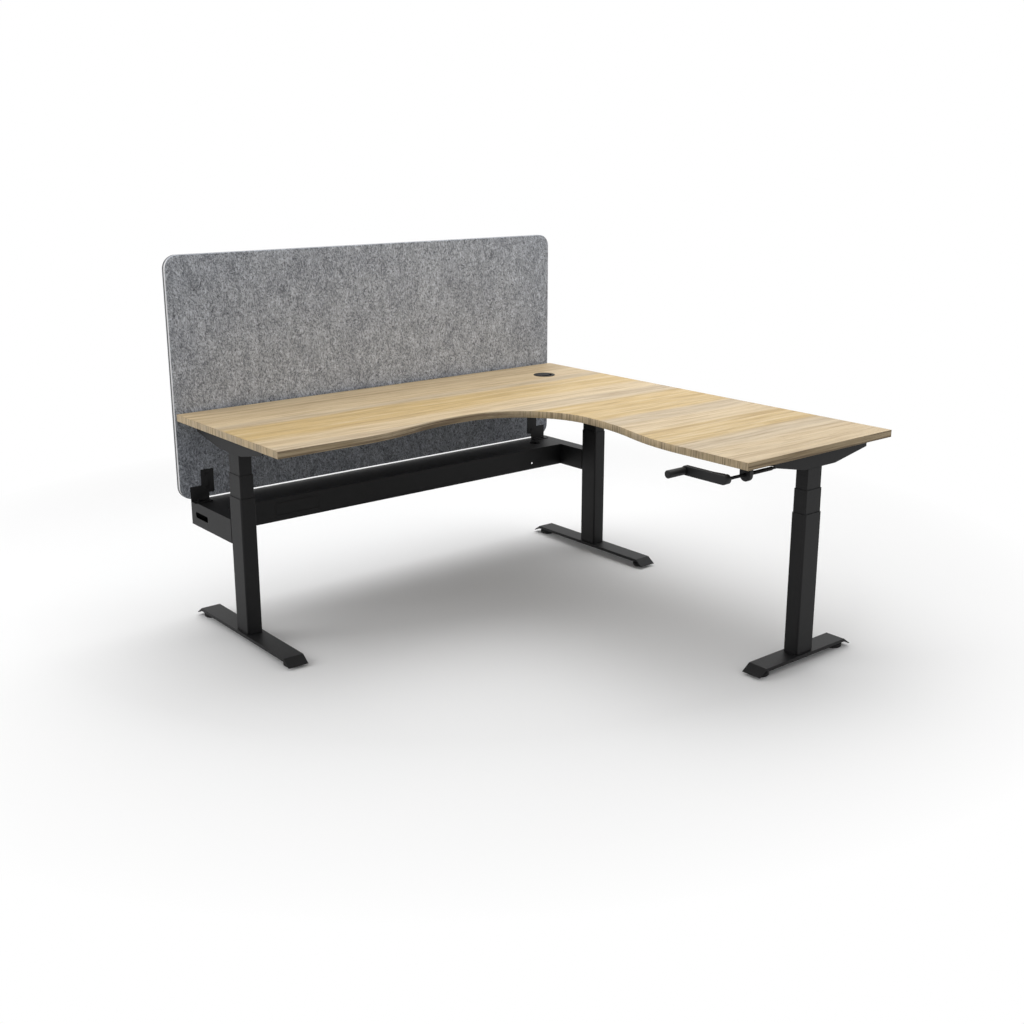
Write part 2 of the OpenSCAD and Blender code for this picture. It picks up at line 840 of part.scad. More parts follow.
// Hollow arm from the back of a column to the back of the beam, flush with the column's sides
module beam_arm(reach, inner_side) {
    window_x = inner_side > 0 ? reach[1] - arm_wall - over : reach[0] - over;
    slot_x = inner_side > 0 ? reach[0] - over : reach[1] - arm_wall - over;
    color(black) in_desk() difference() {
        box([reach[0], column_back, beam_z], [reach[1], beam_back, beam_top]);
        box([reach[0] + arm_wall, column_back + arm_wall, beam_z + arm_wall],
            [reach[1] - arm_wall, beam_back - arm_wall, beam_top - arm_wall]);
        box([window_x, -beam_front + window_margin, beam_z + window_margin],
            [window_x + arm_wall + 2 * over, beam_back - window_margin, beam_top - window_margin]);
        translate([slot_x, -slot_front + slot_len / 2, slot_z]) rotate([90, 0, 90])
            linear_extrude(arm_wall + 2 * over) round_rect(slot_len, slot_h, slot_r);
        at_foot_screws() button_hole();
    }
}

module outlet_panel() {
    color(black) in_desk() {
        box([panel_x - panel_w / 2, -beam_front, panel_z - panel_h / 2],
            [panel_x + panel_w / 2, -beam_front + sheet_t + panel_flange_t, panel_z + panel_h / 2]);
        box([panel_x - panel_w / 2 - panel_flange, -beam_front + sheet_t,
             panel_z - panel_h / 2 - panel_flange],
            [panel_x + panel_w / 2 + panel_flange, -beam_front + sheet_t + panel_flange_t,
             panel_z + panel_h / 2 + panel_flange]);
    }
}

module felt_board(y) {
    translate([top_len / 2, y + felt_t, screen_z + screen_h / 2]) rotate([90, 0, 0])
        linear_extrude(felt_t) round_rect(top_len, screen_h, screen_r);
}

module screen_front() {
    color(felt_grey) in_desk() difference() {
        felt_board(screen_gap);
        at_post_screws() button_hole();
    }
}

module screen_back() {
    color(felt_grey) in_desk() felt_board(screen_gap + felt_t);
}

// Bracket drawn from its outer edge towards the middle of the desk
module bracket_shape() {
    low = beam_top;
    translate([0, screen_gap, 0]) rotate([90, 0, 0]) linear_extrude(bracket_t) {
        translate([0, low]) square([bracket_base_w, bracket_base_h]);
        translate([bracket_post_at + bracket_post_w / 2, low + (bracket_post_low + bracket_post_top) / 2])
            round_rect(bracket_post_w, bracket_post_top - bracket_post_low, bracket_r);
    }
    box([0, screen_gap - bracket_t - bracket_foot, low],
        [bracket_base_w, screen_gap - eps, low + bracket_t]);
}

module screen_bracket_left() {
    color(black) in_desk() difference() {
        translate([bracket_left_x, 0, 0]) bracket_shape();
        at_post_screws() button_hole();
        at_foot_screws() button_hole();
    }
}

module screen_bracket_corner() {
    color(black) in_desk() difference() {
        translate([bracket_corner_x, 0, 0]) mirror([1, 0, 0]) bracket_shape();
        at_post_screws() button_hole();
        at_foot_screws() button_hole();
    }
}

module top_screws() {
    color(steel) in_desk() at_top_screws() {
        translate([0, 0, -flange_t]) cylinder(r = screw_r, h = flange_t + screw_bite, $fn = 24);
        translate([0, 0, -flange_t - screw_head_h]) difference() {
            cylinder(r = screw_head_r, h = screw_head_h, $fn = 48);
            translate([0, 0, -over]) cylinder(r = screw_key_r, h = screw_key_h + over, $fn = 6);
        }
    }
}

foot(LEFT);  // foot_left
foot(CORNER);  // foot_corner
foot(RETURN);  // foot_return
outer_tube(LEFT);  // outer_tube_left
outer_tube(CORNER);  // outer_tube_corner
outer_tube(RETURN);  // outer_tube_return
mid_tube(LEFT);  // mid_tube_left
mid_tube(CORNER);  // mid_tube_corner
mid_tube(RETURN);  // mid_tube_return
inner_tube(LEFT);  // inner_tube_left
inner_tube(CORNER);  // inner_tube_corner
inner_tube(RETURN);  // inner_tube_return
lower_spindle(LEFT);  // lower_spindle_left
lower_spindle(CORNER);  // lower_spindle_corner
lower_spindle(RETURN);  // lower_spindle_return
mid_spindle(LEFT);  // mid_spindle_left
mid_spindle(CORNER);  // mid_spindle_corner
mid_spindle(RETURN);  // mid_spindle_return
upper_spindle(LEFT);  // upper_spindle_left
upper_spindle(CORNER);  // upper_spindle_corner
upper_spindle(RETURN);  // upper_spindle_return
gearbox(LEFT);  // gearbox_left
gearbox(CORNER);  // gearbox_corner
gearbox(RETURN);  // gearbox_return
wing(LEFT);  // wing_left
wing(CORNER);  // wing_corner
wing(RETURN);  // wing_return
leveller(LEFT, -1);  // leveller_left_front
leveller(LEFT, 1);  // leveller_left_back
leveller(CORNER, -1);  // leveller_corner_front
leveller(CORNER, 1);  // leveller_corner_back
leveller(RETURN, -1);  // leveller_return_inner
leveller(RETURN, 1);  // leveller_return_outer
desktop();
edge_band();
grommet_ring();
grommet_cap();
long_rail(back_rail_y);  // long_rail_back
long_rail(front_rail_y);  // long_rail_front
return_rail(-1);  // return_rail_inner
return_rail(1);  // return_rail_outer
junction_box();
cross_shaft();
return_shaft();
crank_hanger();
crank_rod();
crank_arm();
crank_grip();
cable_beam();
beam_arm(arm_left, 1);  // beam_arm_left
beam_arm(arm_corner, -1);  // beam_arm_corner
outlet_panel();
screen_front();
screen_back();
screen_bracket_left();
screen_bracket_corner();
foot_bolts();
screen_screws();
top_screws();
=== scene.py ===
import bpy
import bmesh
import math
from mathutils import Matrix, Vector


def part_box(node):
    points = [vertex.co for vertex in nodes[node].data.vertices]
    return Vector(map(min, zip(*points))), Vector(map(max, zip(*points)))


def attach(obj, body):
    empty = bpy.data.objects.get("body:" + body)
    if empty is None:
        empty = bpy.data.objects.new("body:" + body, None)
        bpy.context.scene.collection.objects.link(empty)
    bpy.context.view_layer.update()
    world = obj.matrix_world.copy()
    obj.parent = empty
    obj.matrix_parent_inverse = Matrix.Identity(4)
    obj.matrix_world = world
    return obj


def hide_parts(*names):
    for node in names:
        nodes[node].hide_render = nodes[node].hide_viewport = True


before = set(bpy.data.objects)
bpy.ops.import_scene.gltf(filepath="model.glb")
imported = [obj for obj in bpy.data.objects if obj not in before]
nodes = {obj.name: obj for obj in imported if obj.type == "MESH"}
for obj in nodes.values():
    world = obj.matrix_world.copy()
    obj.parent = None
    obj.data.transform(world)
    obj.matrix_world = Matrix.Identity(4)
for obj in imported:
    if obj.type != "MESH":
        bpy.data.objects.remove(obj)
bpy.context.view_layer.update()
scene = bpy.context.scene
print("frame loaded:", len(nodes), "nodes")

# Places that repeat the source are in millimetres in its desk frame: X from the open end of the
# long side, Y 0 at the back edge and negative towards the front.
deskOrigin = (906.75, -880.5)


def desk(x, y, z):
    return Vector(((x - deskOrigin[0]) / 1000, (y - deskOrigin[1]) / 1000, z / 1000))


# Camera: solved from the photograph's edges. Heading and pitch are in degrees. The focal length,
# the picture's width and the row of its optical centre are in pixels. The sensor is in millimetres,
# and the reach in metres.
cameraSettings = {
    "place": desk(-1859.7, -4211.1, 1725.5), "heading": 39.241, "pitch": 14.828,
    "focal": 1242.0, "width": 1024, "centreRow": 478.8, "sensor": 36, "reach": 60,
}
cameraData = bpy.data.cameras.new("camera")
cameraData.lens = cameraSettings["focal"] / cameraSettings["width"] * cameraSettings["sensor"]
cameraData.sensor_width = cameraSettings["sensor"]
cameraData.shift_y = cameraSettings["centreRow"] / cameraSettings["width"] - 0.5
cameraData.clip_end = cameraSettings["reach"]
camera = bpy.data.objects.new("camera", cameraData)
camera.location = cameraSettings["place"]
camera.rotation_euler = (
    math.radians(90 - cameraSettings["pitch"]),
    0,
    -math.radians(cameraSettings["heading"]),
)
scene.collection.objects.link(camera)
scene.camera = camera


# Node helpers

class Shader:
    # One node tree being built: each call adds a node and returns its output.

    def __init__(self, tree):
        self.tree = tree

    def link(self, value, socket):
        if isinstance(value, bpy.types.NodeSocket):
            self.tree.links.new(value, socket)
        elif value is not None:
            socket.default_value = value

    def add(self, kind, inputs=None, output=0, **settings):
        node = self.tree.nodes.new(kind)
        for key, value in settings.items():
            setattr(node, key, value)
        for key, value in (inputs or {}).items():
            self.link(value, node.inputs[key])
        return node.outputs[output]

    def math(self, operation, a, b=0.0, c=0.0):
        return self.add("ShaderNodeMath", {0: a, 1: b, 2: c}, operation=operation)

    def vector(self, operation, a, b):
        return self.add("ShaderNodeVectorMath", {0: a, 1: b}, operation=operation)

    def axis(self, vector, index):
        return self.add("ShaderNodeSeparateXYZ", {0: vector}, index)

    def noise(self, vector, scale=1.0, detail=3.0, roughness=0.5, distortion=0.0, output="Factor"):
        inputs = {
            "Vector": vector, "Scale": scale, "Detail": detail, "Roughness": roughness,
            "Distortion": distortion,
        }
        return self.add("ShaderNodeTexNoise", inputs, 0 if output == "Factor" else 1)

    def span(self, value, low, high, toLow=0.0, toHigh=1.0):
        inputs = {
            "Value": value, "From Min": low, "From Max": high, "To Min": toLow, "To Max": toHigh,
        }
        return self.add("ShaderNodeMapRange", inputs)

    def mix(self, factor, a, b):
        node = self.tree.nodes.new("ShaderNodeMix")
        node.data_type = "RGBA"
        for value, socket in ((factor, 0), (a, 6), (b, 7)):
            self.link(value, node.inputs[socket])
        return node.outputs[2]

    def layered(self, tone, layers):
        # Each layer: its mask, its colour, where the mask starts and is full, and how much shows.
        for mask, colour, start, full, amount in layers:
            tone = self.mix(self.span(mask, start, full, 0.0, amount), tone, colour)
        return tone

    def ramp(self, value, stops):
        node = self.tree.nodes.new("ShaderNodeValToRGB")
        elements = node.color_ramp.elements
        while len(elements) < len(stops):
            elements.new(0.5)
        for element, (position, colour) in zip(elements, stops):
            element.position = position
            element.color = colour
        self.link(value, node.inputs[0])
        return node.outputs[0]

    def scaled(self, colour, factor):
        return self.add("ShaderNodeVectorMath", {0: colour, "Scale": factor}, operation="SCALE")

    def bump(self, height, distance):
        return self.add("ShaderNodeBump", {"Height": height, "Distance": distance})

    def place(self, group, inputs):
        node = self.tree.nodes.new("ShaderNodeGroup")
        node.node_tree = group
        for key, value in inputs.items():
            self.link(value, node.inputs[key])
        return node.outputs


def newGroup(name, inputs, outputs):
    # An effect that several materials share. Returns the group, its shader, and its ends.
    group = bpy.data.node_groups.new(name, "ShaderNodeTree")
    kinds = {"value": "NodeSocketFloat", "colour": "NodeSocketColor", "vector": "NodeSocketVector"}
    for side, sockets in (("INPUT", inputs), ("OUTPUT", outputs)):
        for socket, kind in sockets.items():
            group.interface.new_socket(socket, in_out=side, socket_type=kinds[kind])
    given = group.nodes.new("NodeGroupInput").outputs
    made = group.nodes.new("NodeGroupOutput").inputs
    return group, Shader(group), given, made


def rgb(r, g, b):
    # sRGB 0 to 255, as read off a lit surface, to the linear colour that nodes take.
    return tuple(
        c / 255 / 12.92 if c / 255 <= 0.04045 else ((c / 255 + 0.055) / 1.055) ** 2.4
        for c in (r, g, b)
    ) + (1.0,)


def newMaterial(name):
    material = bpy.data.materials.new(name)
    material.use_nodes = True
    tree = material.node_tree
    tree.nodes.clear()
    principled = tree.nodes.new("ShaderNodeBsdfPrincipled")
    output = tree.nodes.new("ShaderNodeOutputMaterial")
    tree.links.new(principled.outputs[0], output.inputs[0])
    shader = Shader(tree)
    return material, shader, principled, shader.add("ShaderNodeTexCoord", output="Object")


# Powder coat and cast metal. The grain, the clouds of tone and the rubs are in repeats a metre, and
# the depth in metres. The coarse grain is a share of the grain.

powderLook = {
    "colour": rgb(22, 22, 23), "roughness": 0.50, "specular": 0.24, "grain": 1100.0,
    "depth": 0.00007,
}
castLook = {
    "colour": rgb(24, 24, 25), "roughness": 0.56, "specular": 0.28, "grain": 600.0,
    "depth": 0.00014,
}
rodLook = {
    "colour": rgb(12, 12, 13), "roughness": 0.50, "specular": 0.16, "grain": 2500.0,
    "depth": 0.00001,
}
powderPatterns = {"coarse": 0.3, "clouds": 6.0, "rubs": (60.0, 90.0, 9.0)}

powderGrain, s, given, made = newGroup(
    "powderGrain",
    {"Vector": "vector", "Colour": "colour", "Grain": "value", "Roughness": "value"},
    {"Colour": "colour", "Roughness": "value", "Height": "value"},
)
grain = s.noise(given["Vector"], given["Grain"], 2.0, 0.6)
coarseRate = s.math("MULTIPLY", given["Grain"], powderPatterns["coarse"])
coarse = s.noise(given["Vector"], coarseRate, 2.0)
cloud = s.noise(given["Vector"], powderPatterns["clouds"], 4.0, 0.6)
rub = s.noise(s.vector("MULTIPLY", given["Vector"], powderPatterns["rubs"]), 1.0, 4.0, 0.7)
amount = s.math("ADD", s.span(cloud, 0.35, 0.65, 0.86, 1.16), s.span(grain, 0.6, 0.78, 0.0, 0.2))
s.link(s.scaled(given["Colour"], amount), made["Colour"])
worn = s.math("SUBTRACT", s.span(grain, 0.3, 0.7, -0.06, 0.08), s.span(rub, 0.6, 0.8, 0.0, 0.1))
s.link(s.math("ADD", given["Roughness"], worn), made["Roughness"])
s.link(s.math("ADD", grain, coarse), made["Height"])


def makePowder(name, look):
    material, s, p, at = newMaterial(name)
    skin = s.place(powderGrain, {
        "Vector": at, "Colour": look["colour"], "Grain": look["grain"],
        "Roughness": look["roughness"],
    })
    s.link(skin["Colour"], p.inputs["Base Color"])
    s.link(skin["Roughness"], p.inputs["Roughness"])
    p.inputs["Specular IOR Level"].default_value = look["specular"]
    s.link(s.bump(skin["Height"], look["depth"]), p.inputs["Normal"])
    return material


# Oak-look laminate

oakLook = {
    "Beige": rgb(203, 181, 145),
    "Grey": rgb(190, 172, 144),
    "Yellow": rgb(197, 169, 115),
    "Streak": rgb(144, 119, 84),
    "Light": rgb(218, 199, 165),
    "Pore": rgb(112, 92, 66),
}
oakFinish = {"specular": 0.3, "smooth": 0.48, "rough": 0.62, "depth": 0.0001}
# Bands of tone, told by their distance from the back edge in metres
deskDepth = 1.8
oakBands = [
    (0.00, "Beige"), (0.27, "Beige"), (0.30, "Grey"), (0.325, "Grey"), (0.36, "Yellow"),
    (0.55, "Yellow"), (0.60, "Beige"), (0.67, "Beige"), (0.70, "Grey"), (0.755, "Grey"),
    (0.80, "Yellow"), (1.045, "Yellow"), (1.09, "Grey"), (1.15, "Grey"), (1.20, "Beige"),
    (1.285, "Beige"), (1.32, "Yellow"), (1.48, "Yellow"), (1.52, "Grey"), (1.585, "Grey"),
    (1.625, "Beige"), (1.80, "Beige"),
]
bandShares = {"Beige": (0, 0, 0, 1), "Yellow": (1, 0, 0, 1), "Grey": (0, 1, 0, 1)}
# How far the streaks and the bands wander across the grain, in metres
oakWander = {"repeats": (0.9, 3.2, 3.2), "streaks": 0.10, "bands": 0.06}
# Streaks: repeats a metre along and across the grain, seed, detail and roughness
oakStreaks = {
    "wide": (0.35, 20.0, 5.0, 2.0, 0.55),
    "middle": (1.5, 46.0, 11.0, 3.0, 0.55),
    "fine": (5.5, 112.0, 23.0, 4.0, 0.6),
    "hair": (16.0, 480.0, 37.0, 2.0, 0.6),
    "pores": (45.0, 1500.0, 51.0, 1.0, 0.55),
}

oakGrain, s, given, made = newGroup(
    "oakGrain",
    {"Vector": "vector"} | {key: "colour" for key in oakLook},
    {"Colour": "colour", "Fine": "value"},
)
x, y, z = (s.axis(given["Vector"], i) for i in range(3))
drift = s.noise(s.vector("MULTIPLY", given["Vector"], oakWander["repeats"]), 1.0, 2.0)
across = s.math("MULTIPLY_ADD", s.math("SUBTRACT", drift, 0.5), oakWander["streaks"], y)


def streaks(along, over, seed, detail, roughness):
    point = s.add("ShaderNodeCombineXYZ", {
        0: s.math("MULTIPLY", x, along),
        1: s.math("MULTIPLY", across, over),
        2: s.math("MULTIPLY", z, over),
    })
    return s.noise(s.vector("ADD", point, (seed, seed * 1.7, seed * 0.6)), 1.0, detail, roughness)


wide, middle, fine, hair, pores = (streaks(*values) for values in oakStreaks.values())
fromBack = s.math("SUBTRACT", desk(0, 0, 0).y, across)
fromBack = s.math("MULTIPLY_ADD", s.math("SUBTRACT", middle, 0.5), oakWander["bands"], fromBack)
share = s.ramp(
    s.math("DIVIDE", fromBack, deskDepth),
    [(start / deskDepth, bandShares[kind]) for start, kind in oakBands],
)
yellowShare, greyShare = (s.axis(share, i) for i in range(2))
tone = s.mix(yellowShare, given["Beige"], given["Yellow"])
tone = s.mix(greyShare, tone, given["Grey"])
tone = s.layered(tone, (
    (wide, given["Streak"], 0.52, 0.66, 0.25),
    (wide, given["Light"], 0.48, 0.35, 0.28),
    (middle, given["Streak"], 0.52, 0.66, 0.36),
    (middle, given["Light"], 0.48, 0.34, 0.34),
    (fine, given["Streak"], 0.53, 0.67, 0.42),
    (fine, given["Light"], 0.47, 0.33, 0.40),
    (hair, given["Pore"], 0.56, 0.72, 0.30),
    (pores, given["Pore"], 0.66, 0.75, 0.34),
))
s.link(tone, made["Colour"])
s.link(fine, made["Fine"])

# Edge band: repeats a metre of its layers, of the ends of its streaks, and of its blocks of tone
oakEdgeLook = {
    "dark": rgb(104, 86, 66), "darkened": 0.15, "layers": (1.6, 1.6, 130.0),
    "ends": (230.0, 230.0, 8.0), "blocks": (22.0, 22.0, 2.0),
}


def edgeTones(s, at, look, edge, tone):
    # Layers show along the grain, and the ends of the streaks across it.
    facing = s.axis(s.add("ShaderNodeTexCoord", output="Normal"), 0)
    crossed = s.span(s.math("ABSOLUTE", facing), 0.50, 0.85)
    layers = s.noise(s.vector("MULTIPLY", at, edge["layers"]), 1.0, 2.0, 0.6)
    tone = s.layered(tone, (
        (layers, edge["dark"], 0.48, 0.60, 0.8),
        (layers, look["Light"], 0.44, 0.34, 0.6),
    ))
    ends = s.noise(s.vector("MULTIPLY", at, edge["ends"]), 1.0, 3.0, 0.6)
    blocks = s.noise(s.vector("MULTIPLY", at, edge["blocks"]), 1.0, 2.0)
    endTone = s.mix(s.span(blocks, 0.35, 0.65), look["Grey"], look["Beige"])
    endTone = s.layered(endTone, (
        (ends, edge["dark"], 0.50, 0.64, 0.68),
        (ends, look["Light"], 0.48, 0.34, 0.45),
    ))
    return s.mix(crossed, s.mix(edge["darkened"], tone, edge["dark"]), endTone), ends


def makeOak(name, look, finish, edge=None):
    material, s, p, at = newMaterial(name)
    grain = s.place(oakGrain, {"Vector": at} | look)
    tone, height = grain["Colour"], grain["Fine"]
    if edge:
        tone, height = edgeTones(s, at, look, edge, tone)
    s.link(tone, p.inputs["Base Color"])
    roughness = s.span(grain["Fine"], 0.3, 0.7, finish["smooth"], finish["rough"])
    s.link(roughness, p.inputs["Roughness"])
    p.inputs["Specular IOR Level"].default_value = finish["specular"]
    s.link(s.bump(height, finish["depth"]), p.inputs["Normal"])
    return material


# Pressed felt: short fibres that lie in swirls, with darker flecks and a few curled hairs

feltLook = {
    "Middle": rgb(182, 184, 188),
    "Dark": rgb(104, 106, 110),
    "Light": rgb(231, 233, 236),
    "Cool": rgb(168, 170, 177),
    "Hair": rgb(66, 67, 72),
}
# Painted light on the boards' edges: the front board's side faces carry a painted highlight, near
# white, and the back board's sides and rims carry painted shade for the dark seam between the two
# boards.
feltEdgeLightAndShade = {
    "front": {"sides": rgb(246, 246, 246), "paintedRimTone": rgb(180, 184, 190)},
    "back": {"sides": rgb(112, 112, 115), "paintedRimTone": rgb(120, 120, 123)},
}
# The front board stands in warm light from the wood, so its colours are lighter and cooler.
frontTint = (1.03, 1.06, 1.11, 1.0)
feltFinish = {
    "Roughness": 0.95, "Specular IOR Level": 0.2, "Sheen Weight": 0.1, "Sheen Roughness": 0.5,
}
feltDepth = 0.0006
# Patterns in repeats a metre, the slant of the second fibres in radians, and for each swirl its
# repeats a metre and how far it moves the fibres
feltPatterns = {
    "clouds": 6.0, "patches": (36.0, 36.0, 14.0), "upright": (210.0, 210.0, 74.0),
    "slanted": (250.0, 250.0, 105.0), "slant": 0.75, "flecks": 125.0, "fuzz": 1400.0,
    "hairs": 42.0, "hairPlaces": 33.0, "swirl": (9.0, 0.07), "slantedSwirl": (12.0, 0.05),
}

feltFibres, s, given, made = newGroup(
    "feltFibres",
    {"Vector": "vector"} | {key: "colour" for key in feltLook},
    {"Colour": "colour", "Height": "value"},
)
at = given["Vector"]


def swirled(scale, amount):
    shift = s.vector("SUBTRACT", s.noise(at, scale, 2.0, output="Color"), (0.5, 0.5, 0.5))
    return s.vector("ADD", at, s.vector("MULTIPLY", shift, (amount, amount, amount)))


def fibres(vector, repeats, roughness):
    return s.noise(s.vector("MULTIPLY", vector, repeats), 1.0, 3.0, roughness)


moved = swirled(*feltPatterns["swirl"])
turned = s.add(
    "ShaderNodeVectorRotate",
    {"Vector": swirled(*feltPatterns["slantedSwirl"]), "Angle": feltPatterns["slant"]},
    rotation_type="Y_AXIS",
)
cloud = s.noise(at, feltPatterns["clouds"], 3.0, 0.6)
patch = fibres(moved, feltPatterns["patches"], 0.6)
upright = fibres(moved, feltPatterns["upright"], 0.65)
slanted = fibres(turned, feltPatterns["slanted"], 0.65)
fleck = s.noise(moved, feltPatterns["flecks"], 2.0, 0.6)
fuzz = s.noise(at, feltPatterns["fuzz"], 2.0, 0.6)
tone = s.layered(given["Middle"], (
    (cloud, given["Cool"], 0.42, 0.64, 0.60),
    (patch, given["Dark"], 0.50, 0.66, 0.42),
    (patch, given["Light"], 0.47, 0.33, 0.36),
    (upright, given["Dark"], 0.50, 0.66, 0.80),
    (upright, given["Light"], 0.47, 0.32, 0.65),
    (slanted, given["Dark"], 0.52, 0.68, 0.65),
    (slanted, given["Light"], 0.46, 0.32, 0.55),
    (fleck, given["Dark"], 0.55, 0.68, 0.80),
))
# Hairs run where a bent pattern crosses its middle value, and only in some places.
bends = s.noise(moved, feltPatterns["hairs"], 1.0, 0.5, 1.5)
curl = s.math("ABSOLUTE", s.math("SUBTRACT", bends, 0.5))
sparse = s.span(s.noise(at, feltPatterns["hairPlaces"], 1.0), 0.58, 0.64)
hairs = s.math("MULTIPLY", s.span(curl, 0.006, 0.016, 0.8, 0.0), sparse)
s.link(s.mix(hairs, tone, given["Hair"]), made["Colour"])
nap = s.math("ADD", upright, slanted)
s.link(s.math("ADD", nap, s.math("MULTIPLY", fuzz, 0.5)), made["Height"])


def makeFelt(name, look, edges, seed):
    material, s, p, at = newMaterial(name)
    felt = s.place(feltFibres, {"Vector": s.vector("ADD", at, (seed, 0.0, seed * 0.4))} | look)
    normal = s.add("ShaderNodeTexCoord", output="Normal")
    sideways, outwards = (s.math("ABSOLUTE", s.axis(normal, i)) for i in range(2))
    # The rims and side faces take the painted edge highlight or painted edge shade given for each
    # board.
    tone = s.layered(felt["Colour"], (
        (outwards, edges["paintedRimTone"], 0.75, 0.4, 0.8),
        (sideways, edges["sides"], 0.6, 0.9, 0.9),
    ))
    s.link(tone, p.inputs["Base Color"])
    for socket, value in feltFinish.items():
        p.inputs[socket].default_value = value
    s.link(s.bump(felt["Height"], feltDepth), p.inputs["Normal"])
    return material


# Moulded plastic. Upright walls, such as a slot's, can take painted shade: a near-black tone for
# the shade deep inside the slot. The clouds of tone and the texture are in repeats a metre, and the
# depth in metres.

crankLook = {"colour": rgb(24, 24, 25), "roughness": 0.45, "specular": 0.28}
# The grommet's upright walls carry painted shade, for the dark inside of its slot.
grommetLook = {
    "colour": rgb(42, 42, 42), "roughness": 0.55, "specular": 0.14, "paintedWallShade": rgb(3, 3, 3),
}
padLook = {"colour": rgb(20, 20, 21), "roughness": 0.60, "specular": 0.30}
mouldedPatterns = {"clouds": 18.0, "texture": 1300.0, "depth": 0.00005}

mouldedSkin, s, given, made = newGroup(
    "mouldedSkin",
    {"Vector": "vector", "Colour": "colour", "Roughness": "value"},
    {"Colour": "colour", "Roughness": "value", "Height": "value"},
)
cloud = s.noise(given["Vector"], mouldedPatterns["clouds"], 3.0, 0.6)
s.link(s.scaled(given["Colour"], s.span(cloud, 0.35, 0.65, 0.88, 1.2)), made["Colour"])
s.link(s.math("ADD", given["Roughness"], s.span(cloud, 0.3, 0.7, -0.05, 0.07)), made["Roughness"])
cells = s.add(
    "ShaderNodeTexVoronoi", {"Vector": given["Vector"], "Scale": mouldedPatterns["texture"]},
    feature="SMOOTH_F1",
)
s.link(cells, made["Height"])


def makePlastic(name, look):
    material, s, p, at = newMaterial(name)
    skin = s.place(mouldedSkin, {
        "Vector": at, "Colour": look["colour"], "Roughness": look["roughness"],
    })
    tone = skin["Colour"]
    if "paintedWallShade" in look:
        # Painted shade: faces that stand upright, such as the slot's walls, turn near black.
        upwards = s.axis(s.add("ShaderNodeTexCoord", output="Normal"), 2)
        tone = s.mix(s.span(s.math("ABSOLUTE", upwards), 0.3, 0.7), look["paintedWallShade"], tone)
    s.link(tone, p.inputs["Base Color"])
    s.link(skin["Roughness"], p.inputs["Roughness"])
    p.inputs["Specular IOR Level"].default_value = look["specular"]
    s.link(s.bump(skin["Height"], mouldedPatterns["depth"]), p.inputs["Normal"])
    return material


# Drawn steel. Its lines along and across the draw, and its stains, are in repeats a metre, and the
# depth in metres.

steelLook = {"Dull": rgb(150, 151, 154), "Bright": rgb(186, 187, 190), "Stain": rgb(112, 108, 104)}
steelPatterns = {"along": 25.0, "across": 900.0, "stains": 30.0, "depth": 0.00002}

drawnLines, s, given, made = newGroup(
    "drawnLines",
    {"Vector": "vector", "Drawn": "vector"} | {key: "colour" for key in steelLook},
    {"Colour": "colour", "Roughness": "value", "Height": "value"},
)
draw = s.noise(given["Drawn"], 1.0, 3.0, 0.6)
stains = s.noise(given["Vector"], steelPatterns["stains"], 4.0, 0.65)
tone = s.mix(s.span(draw, 0.3, 0.7), given["Dull"], given["Bright"])
tone = s.mix(s.span(stains, 0.55, 0.8, 0.0, 0.35), tone, given["Stain"])
s.link(tone, made["Colour"])
s.link(s.span(draw, 0.3, 0.7, 0.26, 0.44), made["Roughness"])
s.link(draw, made["Height"])


def makeSteel(name, along, look, patterns):
    # Bars and shafts are drawn along one axis: 0, 1 or 2 for X, Y or Z.
    material, s, p, at = newMaterial(name)
    rates = [patterns["across"]] * 3
    rates[along] = patterns["along"]
    lines = s.place(drawnLines, {"Vector": at, "Drawn": s.vector("MULTIPLY", at, rates)} | look)
    s.link(lines["Colour"], p.inputs["Base Color"])
    p.inputs["Metallic"].default_value = 1.0
    s.link(lines["Roughness"], p.inputs["Roughness"])
    s.link(s.bump(lines["Height"], patterns["depth"]), p.inputs["Normal"])
    return material


powder = makePowder("powderBlack", powderLook)
cast = makePowder("castBlack", castLook)
rodBlack = makePowder("rodBlack", rodLook)
oakTop = makeOak("oakTop", oakLook, oakFinish)
oakEdge = makeOak("oakEdge", oakLook, oakFinish, oakEdgeLook)
frontLook = {
    key: tuple(c * tint for c, tint in zip(colour, frontTint)) for key, colour in feltLook.items()
}
feltFront = makeFelt("feltFront", frontLook, feltEdgeLightAndShade["front"], seed=0.0)
feltBack = makeFelt("feltBack", feltLook, feltEdgeLightAndShade["back"], seed=7.3)
crankPlastic = makePlastic("crankPlastic", crankLook)
grommetPlastic = makePlastic("grommetPlastic", grommetLook)
padPlastic = makePlastic("padPlastic", padLook)
steelX, steelY, steelZ = (
    makeSteel("steel" + "XYZ"[i], i, steelLook, steelPatterns) for i in range(3)
)
print("materials made")


# Finish of each CAD node, and the rounding of its edges in metres

